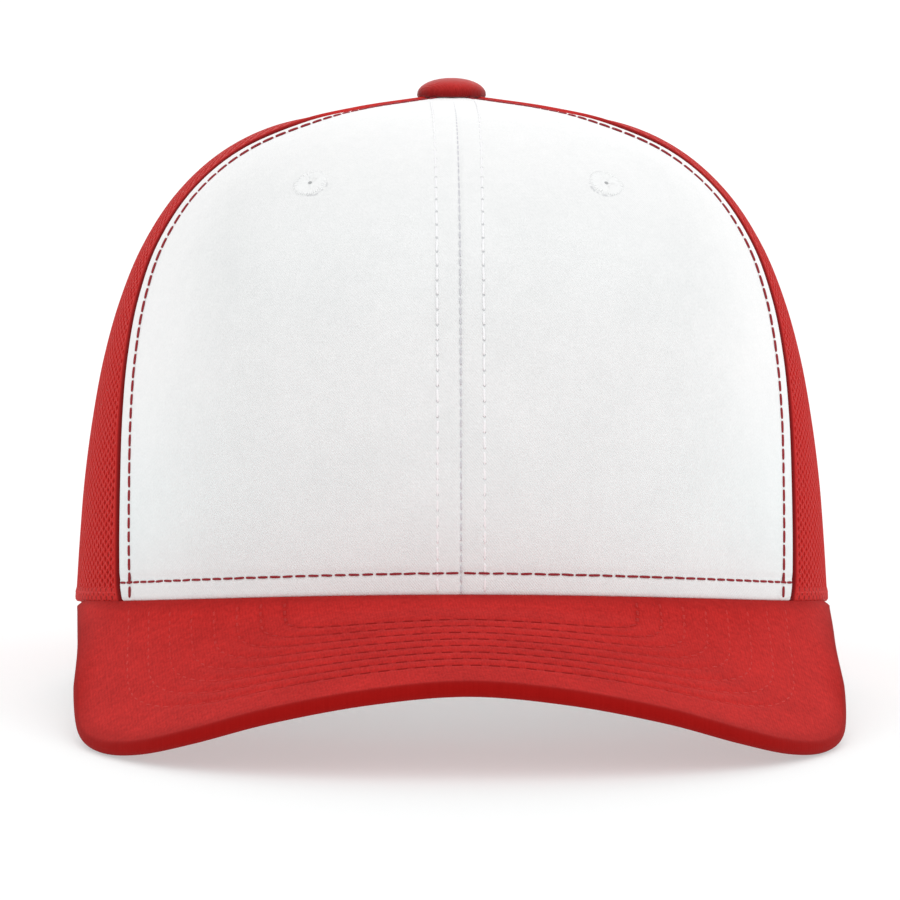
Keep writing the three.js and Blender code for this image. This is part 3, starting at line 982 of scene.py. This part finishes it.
def front_stitches(side, name):
    gore = Gore(side, front_seam, side_seam)
    levels = np.linspace(0.004, TOP_LEVEL * 0.985, 300)
    width = gore.width(levels)
    red = StitchRun()
    inset = SIDE_ROW_INSET - corner_tuck(levels) * CROWN_REACH
    inset += (SIDE_ROW_TOP_INSET - SIDE_ROW_INSET) * smooth_share(levels, 0.72, 0.88)
    crown_row(red, gore.angle(1 - inset / width, levels), levels, **SIDE_STITCH)
    shares = np.linspace(0.004, 0.992, 200)
    bottom = gore.level(BOTTOM_ROW_RISE - BOTTOM_ROW_SAG * shares)
    crown_row(red, gore.angle(shares, bottom), bottom)
    red.piece(f"edge_stitches_{name}", RED_THREAD)
    white = StitchRun()
    upper = levels[width > 2.5 * CENTRE_ROW_OFFSET]
    crown_row(white, gore.angle(CENTRE_ROW_OFFSET / gore.width(upper), upper), upper, **CENTRE_STITCH)
    white.piece(f"centre_stitches_{name}", WHITE_THREAD, "white_thread")


# The thread that shows in the valley of the seam between the front panels
def centre_seam_stitches():
    levels = np.linspace(0.002, TOP_LEVEL * 0.95, 300)
    run = StitchRun()
    crown_row(run, np.zeros_like(levels), levels, **SEAM_STITCH)
    run.piece("centre_seam_stitches", GREY_THREAD, "white_thread")


# Mesh panels

def flat_net(width, height):
    radius = COLUMN_PITCH / 1.5
    stretch = HOLE_PITCH / (math.sqrt(3) * radius)
    bm = bmesh.new()
    for cell in range(2):
        turn = Matrix.Rotation(math.radians(30), 4, "Z")
        place = Matrix.Translation((cell * COLUMN_PITCH, cell * HOLE_PITCH / (2 * stretch), 0))
        bmesh.ops.create_circle(bm, cap_ends=True, segments=6, radius=radius, matrix=place @ turn)
    bmesh.ops.inset_individual(bm, faces=bm.faces[:], thickness=BAR_WIDTH / 2)
    holes = [face for face in bm.faces if len(face.verts) == 6]
    bmesh.ops.delete(bm, geom=holes, context="FACES")
    bmesh.ops.scale(bm, vec=(1, stretch, 1), verts=bm.verts)
    maker = add_object("net_maker", mesh_of("net_tile", bm))
    columns = math.ceil(width / (2 * COLUMN_PITCH)) + 1
    rows = math.ceil(height / HOLE_PITCH) + 1
    for count, step in ((columns, (2 * COLUMN_PITCH, 0, 0)), (rows, (0, HOLE_PITCH, 0))):
        array = maker.modifiers.new("repeat", "ARRAY")
        array.count = count
        array.use_relative_offset = False
        array.use_constant_offset = True
        array.constant_offset_displace = step
    bpy.context.view_layer.update()
    made = maker.evaluated_get(bpy.context.evaluated_depsgraph_get())
    mesh = bpy.data.meshes.new_from_object(made)
    bpy.data.objects.remove(maker)
    return mesh


# Whether places on the crown are outside the back opening, grown by a margin
def outside_opening(angle, level, margin):
    skin = crown_skin(angle, level)
    across = skin[..., 0] / (OPENING_HALF_WIDTH + margin)
    up = (skin[..., 2] + BACK_EDGE_DIP) / (OPENING_HEIGHT + margin)
    return (across**2 + up**2 > 1) | (skin[..., 1] < 0)


def net_panel(gore, name):
    widest = gore.widths.max()
    tallest = gore.rises[-1]
    mesh = flat_net(widest, tallest)
    mesh.name = f"net_{name}"
    bm = bmesh.new()
    bm.from_mesh(mesh)
    bmesh.ops.remove_doubles(bm, verts=bm.verts, dist=COLUMN_PITCH / 20)
    bmesh.ops.translate(bm, vec=(-widest / 2, 0, 0), verts=bm.verts)
    centres = np.array([face.calc_center_median() for face in bm.faces])

    def placed(flat):
        level = gore.level(np.clip(flat[:, 1], 0, tallest))
        share = 0.5 + gore.side * flat[:, 0] / gore.width(level)
        return share, level

    share, level = placed(centres)
    spare = SEAM_MARGIN * MARGIN_OVERLAP / gore.width(level)
    inside = (share > spare) & (share < 1 - spare)
    inside &= (centres[:, 1] > HEM_WIDTH * MARGIN_OVERLAP) & (centres[:, 1] < tallest - HOLE_PITCH)
    inside &= outside_opening(gore.angle(share, level), level, BINDING_WIDTH * 0.6)
    faces = list(bm.faces)
    bmesh.ops.delete(bm, geom=[faces[i] for i in np.flatnonzero(~inside)], context="FACES")
    bm.to_mesh(mesh)
    bm.free()
    flat = read_corners(mesh)
    share, level = placed(flat)
    share = np.clip(share, 0.002, 0.998)
    write_corners(mesh, crown_point(gore.angle(share, level), level, NET_DEPTH))
    add_map(mesh, "cloth", flat[:, 0], flat[:, 1])
    piece = piece_of(mesh.name, mesh, RED_KNIT, [f"mesh_{name}"])
    thicken(piece, NET_WALL)


# The doubled edge of a mesh panel beside one of its seams, from a level up. A ridge raises it beside
# the front panels. The other seams have less painted shade, so their map starts further into the
# painted shade strip.
def seam_margin(gore, is_near, start_level=0.0, ridge=0.0):
    def form(across, up):
        inward = across if (gore.side > 0) == is_near else 1 - across
        level = start_level + (TOP_LEVEL - start_level) * up
        width = gore.width(level)
        from_seam = np.minimum(inward * SEAM_MARGIN, width / 2)
        share = from_seam / width if is_near else 1 - from_seam / width
        raised = ridge * (0.45 + 0.55 * smooth_share(level, 0.55, 0.85))
        depth = fall(from_seam, SEAM_FALL) + fall(SEAM_MARGIN - from_seam, MARGIN_FALL)
        depth -= raised * hump(from_seam - RIDGE_INSET, RIDGE_WIDTH)
        points = crown_point(gore.angle(share, level), level, depth)
        # The other seams' maps start past most of the painted shade strip
        shift = 0 if ridge else PLAIN_SEAM_SHIFT
        return points, {"cloth": (from_seam + shift, gore.rise(level))}

    return formed_mesh("margin", 10, 110, form)


# The doubled lower edge of a mesh panel, up to a share of its width
def bottom_margin(gore, last_share=1.0):
    def form(across, up):
        share = (across if gore.side > 0 else 1 - across) * last_share
        rise = up * HEM_WIDTH
        level = gore.level(rise)
        depth = fall(rise, HEM_LOWER_FALL) + fall(HEM_WIDTH - rise, HEM_UPPER_FALL)
        points = crown_point(gore.angle(share, level), level, depth)
        return points, {"cloth": (share * gore.widths[0], rise)}

    return formed_mesh("margin", 70, 8, form)


def mesh_panels(side, name):
    side_gore = Gore(side, side_seam, rear_seam)
    back_gore = Gore(side, rear_seam, back_seam)
    net_panel(side_gore, f"side_{name}")
    net_panel(back_gore, f"back_{name}")
    arch_top = OPENING_HEIGHT + BINDING_WIDTH / 2 - BACK_EDGE_DIP
    arch_level = float(crown_place(np.array(0.0), np.array(arch_top), True)[1])
    foot_angle = edge_angle(OPENING_HALF_WIDTH + BINDING_WIDTH / 2)
    foot_share = (foot_angle - BACK_SEAM_ANGLE) / (math.pi - BACK_SEAM_ANGLE)
    side_margins = [
        seam_margin(side_gore, True, ridge=SEAM_RIDGE),
        seam_margin(side_gore, False),
        bottom_margin(side_gore),
    ]
    back_margins = [
        seam_margin(back_gore, True),
        seam_margin(back_gore, False, arch_level),
        bottom_margin(back_gore, foot_share),
    ]
    for place, margins in (("side", side_margins), ("back", back_margins)):
        title = f"net_edge_{place}_{name}"
        piece = piece_of(title, joined(title, margins), RED_FOLDED_KNIT)
        thicken(piece, MARGIN_WALL)
    stitches = StitchRun()
    levels = np.linspace(0.004, TOP_LEVEL * 0.97, 260)
    for gore, is_near, start in (
        (side_gore, False, 0),
        (back_gore, True, 0),
        (back_gore, False, arch_level + 0.01),
    ):
        run = levels[levels > start]
        share = NET_ROW_INSET / gore.width(run)
        crown_row(stitches, gore.angle(share if is_near else 1 - share, run), run)
    for gore, last in ((side_gore, 1), (back_gore, foot_share)):
        shares = np.linspace(0.01, last * 0.99, 120)
        level = np.full_like(shares, gore.level(HEM_ROW_RISE))
        crown_row(stitches, gore.angle(shares, level), level, **HEM_STITCH)
    stitches.piece(f"net_stitches_{name}", MATCHED_THREAD)


# Peak

# How far a cover stands off the peak's middle surface, at a distance from the outer edge. Its rows of
# stitches pull it in, less towards the sides and under the crown.
def peak_fullness(angle, from_edge, across):
    full = 1 - edge_fall(from_edge, PEAK_ROUNDING)
    pull = PEAK_ROW_DENT[0] * (1 - 0.7 * smooth_share(np.abs(angle) / PEAK_SPAN, 0.25, 0.6))
    quilting = pull * sum(hump(from_edge - row, PEAK_ROW_DENT[1]) for row in PEAK_SEWN_ROWS)
    return PEAK_HALF_THICKNESS * full - quilting * (1 - smooth_share(across, 0.75, 0.93))


def peak_surface(angle, across, face):
    middle, lean = peak_middle(angle, across)
    from_edge, length = from_peak_edge(middle)
    offset = np.sign(face) * np.maximum(peak_fullness(angle, from_edge, across) * np.abs(face), 0)
    upright = smooth_share(across, 0.94, 1)[:, None]
    rise = np.stack([np.zeros_like(lean), np.zeros_like(lean), lean], -1)
    outward = peak_outward(angle, np.minimum(across, 1 - SLOPE_STEP))
    points = middle + offset[:, None] * (outward * (1 - upright) + rise * upright)
    points[:, 2] += 2 * CLEARANCE * smooth_share(across, 0.85, 1)
    return points, from_edge, length


# How far across the peak the rows of a cover are, and how near to its top, 1, or its underside, -1. The
# top cover starts under the edge and comes round it, and the under cover tucks in behind it.
def cover_rows(row, is_top):
    if is_top:
        turned = np.clip(row / EDGE_ROWS - 1, -1, 0)
        open_row = np.clip((row - EDGE_ROWS) / (1 - EDGE_ROWS), 0, 1)
        across = np.where(turned < 0, PEAK_WRAP * turned**2, open_row**1.6)
        return across, np.where(turned < 0, -1.0, 1.0)
    start = PEAK_WRAP * 0.6
    across = start + (1 - start) * row**1.4
    return across, -0.9 - 0.1 * smooth_share(across, PEAK_WRAP, 2 * PEAK_WRAP)


def peak_cover(is_top):
    def form(share, up):
        shown = share if is_top else 1 - share
        angle = PEAK_REACH * PEAK_SPAN * (2 * shown - 1)
        across, side = cover_rows(np.clip(up / ROOT_ROW, 0, 1), is_top)
        points, from_edge, length = peak_surface(angle, across, side)
        flange = np.clip((up - ROOT_ROW) / (1 - ROOT_ROW), 0, 1)[:, None]
        root = np.zeros_like(angle)
        inner = crown_point(angle, root, PANEL_WALL)
        points[:, :2] += flange * (inner - crown_skin(angle, root))[:, :2]
        maps = {
            "cloth": (points[:, 0], points[:, 1]),
            "edge": (from_edge, length),
            "root": (PEAK_LENGTH * (1 - across), length),
        }
        return points, maps

    name = "peak_top" if is_top else "peak_under"
    mesh = formed_mesh(name, 150, 96, form)
    piece = piece_of(name, mesh, PEAK_TWILL, [f"{name}_cover"])
    thicken(piece, PEAK_CLOTH_WALL)


def peak_stitches():
    run = StitchRun()
    angles = np.linspace(-PEAK_SPAN * PEAK_REACH, PEAK_SPAN * PEAK_REACH, 260)
    across = np.linspace(0.001, ROOT_ROW, 180)
    grid_angle, grid_across = np.meshgrid(angles, across, indexing="ij")
    middle = peak_middle(grid_angle.ravel(), grid_across.ravel())[0]
    distances = from_peak_edge(middle)[0].reshape(grid_angle.shape)
    rises = np.maximum.accumulate(distances, axis=1)
    for row in PEAK_SEWN_ROWS:
        shown = rises[:, -1] > row
        crossing = np.array([np.interp(row, rise, across) for rise in rises[shown]])
        angle = angles[shown]
        sunk = PEAK_ROW_SUNK * smooth_share(np.abs(angle) / PEAK_SPAN, 0.22, 0.5)
        for face in (1, -1):
            points = peak_surface(angle, crossing, face)[0]
            outward = face * peak_outward(angle, crossing)
            points -= outward * (sunk - PEAK_ROW_STAND)[:, None]
            run.row(points, outward, **PEAK_STITCH)
    run.piece("peak_stitches", PEAK_THREAD, "peak_twill")


# Button, eyelets and bands

def button():
    bm = bmesh.new()
    top = CROWN_HEIGHT + BUTTON_HEIGHT
    waist = CROWN_HEIGHT + BUTTON_WAIST
    profile = [(BUTTON_SHANK, CROWN_HEIGHT - BUTTON_SHANK), (BUTTON_SHANK, CROWN_HEIGHT - 0.0002)]
    for step in range(BUTTON_STEPS + 1):
        turn = math.radians(-70 + 160 * step / BUTTON_STEPS)
        power = BUTTON_DOME_POWER if turn > 0 else BUTTON_RIM_POWER
        rise = (top - waist if turn > 0 else BUTTON_TUCK) * math.sin(turn)
        profile.append((BUTTON_RADIUS * abs(math.cos(turn)) ** power, waist + rise))
    profile[-1] = (0, top)
    verts = [bm.verts.new((radius, 0, height)) for radius, height in profile]
    edges = [bm.edges.new(pair) for pair in zip(verts, verts[1:])]
    bmesh.ops.spin(
        bm, geom=verts + edges, angle=2 * math.pi, steps=64, use_merge=True,
        axis=(0, 0, 1), cent=(0, 0, 0),
    )
    close_up(bm)
    mesh = mesh_of("button_cover", bm)
    points = read_corners(mesh)
    turn = np.arctan2(points[:, 1], points[:, 0])
    low = smooth_share(-points[:, 2], -waist - 0.0014, -waist + 0.0006)
    pleat = 1 - 0.025 * low * (0.5 + 0.5 * np.sin(BUTTON_PLEATS * turn))
    points[:, :2] *= pleat[:, None]
    write_corners(mesh, points)
    add_map(mesh, "cloth", points[:, 0], points[:, 1])
    add_map(mesh, "rise", turn, points[:, 2] - waist)
    piece_of("button_cover", mesh, BUTTON_TWILL, ["button"])


def eyelet(side, name):
    angle, level = crown_place(np.array([side * EYELET_SIDE]), np.array([EYELET_HEIGHT]), False)
    centre = Vector(in_frame(crown_skin(angle, level))[0])
    outward = Vector((crown_outward(angle, level) @ CAP_TURN.T)[0])
    stand = Matrix.Translation(centre) @ outward.to_track_quat("Z", "Y").to_matrix().to_4x4()
    bm = bmesh.new()
    middle = (EYELET_RADIUS + EYELET_HOLE_RADIUS) / 2
    reach = (EYELET_RADIUS - EYELET_HOLE_RADIUS) / 2
    lay = Matrix.Rotation(math.pi / 2, 4, "Y")
    for index in range(EYELET_THREADS):
        turn = 2 * math.pi * (index + chance.uniform(-0.15, 0.15)) / EYELET_THREADS
        place = Matrix.Rotation(turn, 4, "Z") @ Matrix.Translation((middle, 0, -EYELET_SUNK))
        length = reach * chance.uniform(0.95, 1.03)
        size = Matrix.Diagonal((length, EYELET_THREAD_WIDTH / 2, EYELET_THREAD_HEIGHT / 2, 1))
        add_copy(bm, STITCH, stand @ place @ size @ lay)
    bmesh.ops.recalc_face_normals(bm, faces=bm.faces)
    title = f"eyelet_thread_{name}"
    piece_of(title, mesh_of(title, bm), EYELET_THREAD, [f"eyelet_{name}"])


# A rounded flat section: shares across and through from -1 to 1, for a share of the way round
def section(share, squareness):
    turn = 2 * math.pi * share
    across = np.sign(np.cos(turn)) * np.abs(np.cos(turn)) ** squareness
    through = np.sign(np.sin(turn)) * np.abs(np.sin(turn)) ** squareness
    return across, through


def between(pair, share):
    return (pair[0] + pair[1]) / 2 + (pair[1] - pair[0]) / 2 * share


def sweatband():
    end_angle = edge_angle(STRAP_HALF_LENGTH)

    def form(share, around):
        up, through = section(around, 0.45)
        angle = (end_angle - BAND_END_GAP) * (2 * share - 1)
        rise = BAND_RAISE + BAND_HEIGHT * (up + 1) / 2
        level = level_above(angle, rise)
        points = crown_point(angle, level, between(BAND_DEPTHS, through))
        return points, {"cloth": (angle * CROWN_REACH, rise)}

    mesh = formed_tube("inner_band", 150, 28, form)
    piece_of("inner_band", mesh, RED_TWILL, ["sweatband"])


def back_strap():
    end_angle = edge_angle(STRAP_HALF_LENGTH)

    def form(share, around):
        up, through = section(around, 0.4)
        angle = math.pi + (math.pi - end_angle) * (2 * share - 1)
        rise = STRAP_HEIGHT * (up + 1) / 2
        level = level_above(angle, rise)
        points = crown_point(angle, level, between(STRAP_DEPTHS, through))
        points[:, 2] = STRAP_BOTTOM + rise
        return points, {"cloth": (angle * CROWN_REACH, rise)}

    mesh = formed_tube("snap_strap", 90, 28, form)
    piece_of("snap_strap", mesh, RED_PLASTIC, ["back_strap"])


def arch_place(turn, margin):
    side = (OPENING_HALF_WIDTH + margin) * np.cos(turn)
    height = (OPENING_HEIGHT + margin) * np.sin(turn) - BACK_EDGE_DIP
    return crown_place(side, height, True)


def opening_binding():
    def form(share, around):
        across, through = section(around, 0.5)
        margin = BINDING_WIDTH * (across + 1) / 2
        turn = math.pi * share
        angle, level = arch_place(turn, margin)
        points = crown_point(angle, level, between(BINDING_DEPTHS, through))
        return points, {"cloth": (turn * OPENING_HEIGHT, margin)}

    mesh = formed_tube("opening_tape", 120, 24, form)
    piece_of("opening_tape", mesh, RED_TAPE, ["opening_binding"])
    run = StitchRun()
    turn = np.linspace(0.02, math.pi - 0.02, 300)
    for margin in (BINDING_ROW_INSET, BINDING_WIDTH - BINDING_ROW_INSET):
        angle, level = arch_place(turn, np.full_like(turn, margin))
        crown_row(run, angle, level, depth=BINDING_DEPTHS[0] + 0.00005)
    run.piece("opening_stitches", MATCHED_THREAD)


# Floor and light

def floor_and_light():
    finish = Finish("pale_floor")
    # Painted light: the floor glows to lift its shadows; its pinkish base and bluer glow cancel red
    # bounce
    clouds = finish.noise(0.5, 2.0)
    colour = finish.blend(clouds, rgb(204, 192, 192), rgb(206, 194, 194))
    glow = {"Emission Color": (0.82, 1, 1, 1), "Emission Strength": FLOOR_GLOW}
    material = finish.surface(colour, {"Roughness": 0.9, **glow})
    bm = bmesh.new()
    bmesh.ops.create_grid(bm, x_segments=1, y_segments=1, size=15)
    mesh = mesh_of("floor", bm)
    mesh.materials.append(material)
    floor = add_object("floor", mesh)
    world = bpy.data.worlds.new("studio")
    world.use_nodes = True
    sky = world.node_tree.nodes["Background"].inputs
    sky["Color"].default_value = (1, 1, 1, 1)
    sky["Strength"].default_value = SKY_STRENGTH
    bpy.context.scene.world = world
    for light in LIGHTS:
        soft_light(*light)


# A wide soft light from far off, which falls evenly on the floor too
def soft_light(name, origin, spread, strength):
    data = bpy.data.lights.new(name, "SUN")
    data.angle = math.radians(spread)
    data.energy = strength
    light = add_object(name, data)
    light.location = origin
    light.rotation_mode = "QUATERNION"
    light.rotation_quaternion = (-Vector(origin)).to_track_quat("-Z", "Y")


def build_cap():
    for side, name in ((-1, "left"), (1, "right")):
        front_panel(side, name)
        front_stitches(side, name)
        mesh_panels(side, name)
        eyelet(side, name)
    centre_seam_stitches()
    peak_cover(True)
    peak_cover(False)
    peak_stitches()
    button()
    sweatband()
    back_strap()
    opening_binding()


build_cap()
floor_and_light()
bpy.context.scene.view_settings.view_transform = "Standard"
